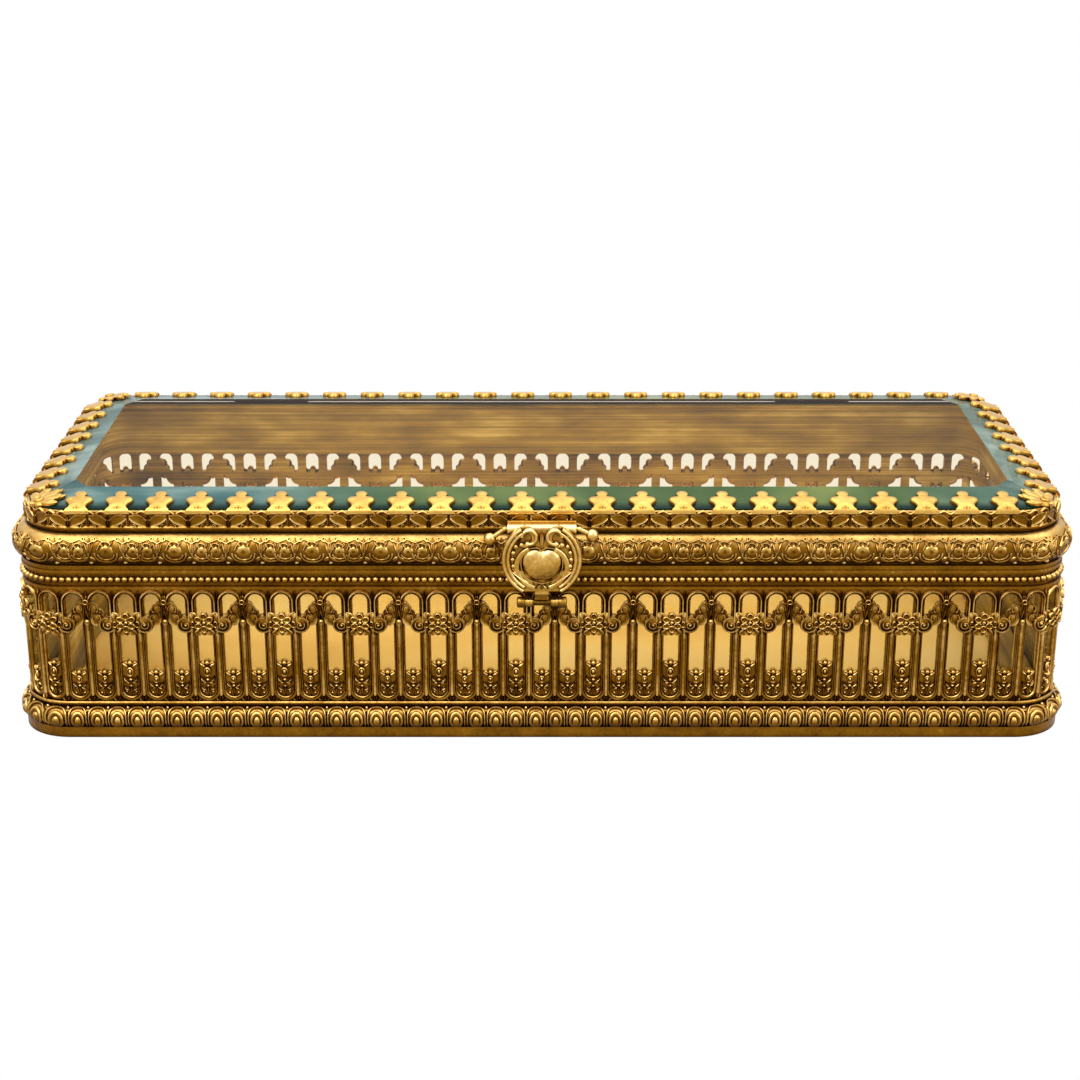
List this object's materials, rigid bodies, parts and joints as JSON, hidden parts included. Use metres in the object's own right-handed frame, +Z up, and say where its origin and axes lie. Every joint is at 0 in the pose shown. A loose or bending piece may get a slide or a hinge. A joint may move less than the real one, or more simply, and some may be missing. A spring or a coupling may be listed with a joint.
{
  "type": "glass casket box",
  "caption": "Long gilt casket box with rounded corners, a pierced arcade gallery over glass panes, and a hinged bevelled glass lid with a shield clasp.",
  "frame": {"origin": "middle of the underside of the base plate", "axes": "+X along the length to the right seen from the front, -Y towards the front with the clasp, +Z up"},
  "size_m": [0.3246, 0.1368, 0.0755],
  "materials": {
    "gilt_bronze": "cast and chased bronze, fire gilt, darkened in the hollows",
    "gilt_claws": "stamped leaves, bright burnished gilding",
    "clasp_gilt": "cast clasp, burnished and rubbed by hands",
    "inner_brass": "plain sheet, aged",
    "side_glass": "polished clear glass",
    "lid_plate_glass": "thick bevelled plate, blue-green at the edges",
    "silk_lining": "pale gold silk over a thin pad"
  },
  "bodies": {
    "case": {"base_plate": "inner_brass", "base_screws": "inner_brass", "base_moulding": "gilt_bronze", "lower_glass_channel": "inner_brass", "lining_pad": "silk_lining", "gallery_front": "gilt_bronze", "gallery_back": "gilt_bronze", "gallery_left": "gilt_bronze", "gallery_right": "gilt_bronze", "gallery_corners": "gilt_bronze", "glass_front": "side_glass", "glass_back": "side_glass", "glass_left": "side_glass", "glass_right": "side_glass", "glass_corners": "side_glass", "bead_course": "gilt_bronze", "case_rim": "gilt_bronze", "inner_band": "inner_brass", "keeper_posts": "clasp_gilt", "keeper_bar": "clasp_gilt", "hinge_case_leaves": "gilt_bronze", "hinge_pins": "clasp_gilt"},
    "lid": {"lid_frame": "gilt_bronze", "lid_glass": "lid_plate_glass", "leaf_strip_front": "gilt_claws", "leaf_strip_back": "gilt_claws", "leaf_strip_left": "gilt_claws", "leaf_strip_right": "gilt_claws", "corner_leaves": "gilt_claws", "hinge_lid_leaves": "gilt_bronze", "clasp_plate": "clasp_gilt"},
    "clasp": {"clasp_shield": "clasp_gilt", "clasp_pin": "clasp_gilt", "clasp_balls": "clasp_gilt"}
  },
  "joints": [
    {"name": "lid_hinge", "type": "hinge", "parent": "case", "child": "lid", "pos_m": [0, 0.0635, 0.0666], "axis": [-1, 0, 0], "range_deg": [0, 100]},
    {"name": "clasp_hinge", "type": "hinge", "parent": "lid", "child": "clasp", "pos_m": [0, -0.0656, 0.0684], "axis": [-1, 0, 0], "range_deg": [0, 95]}
  ]
}
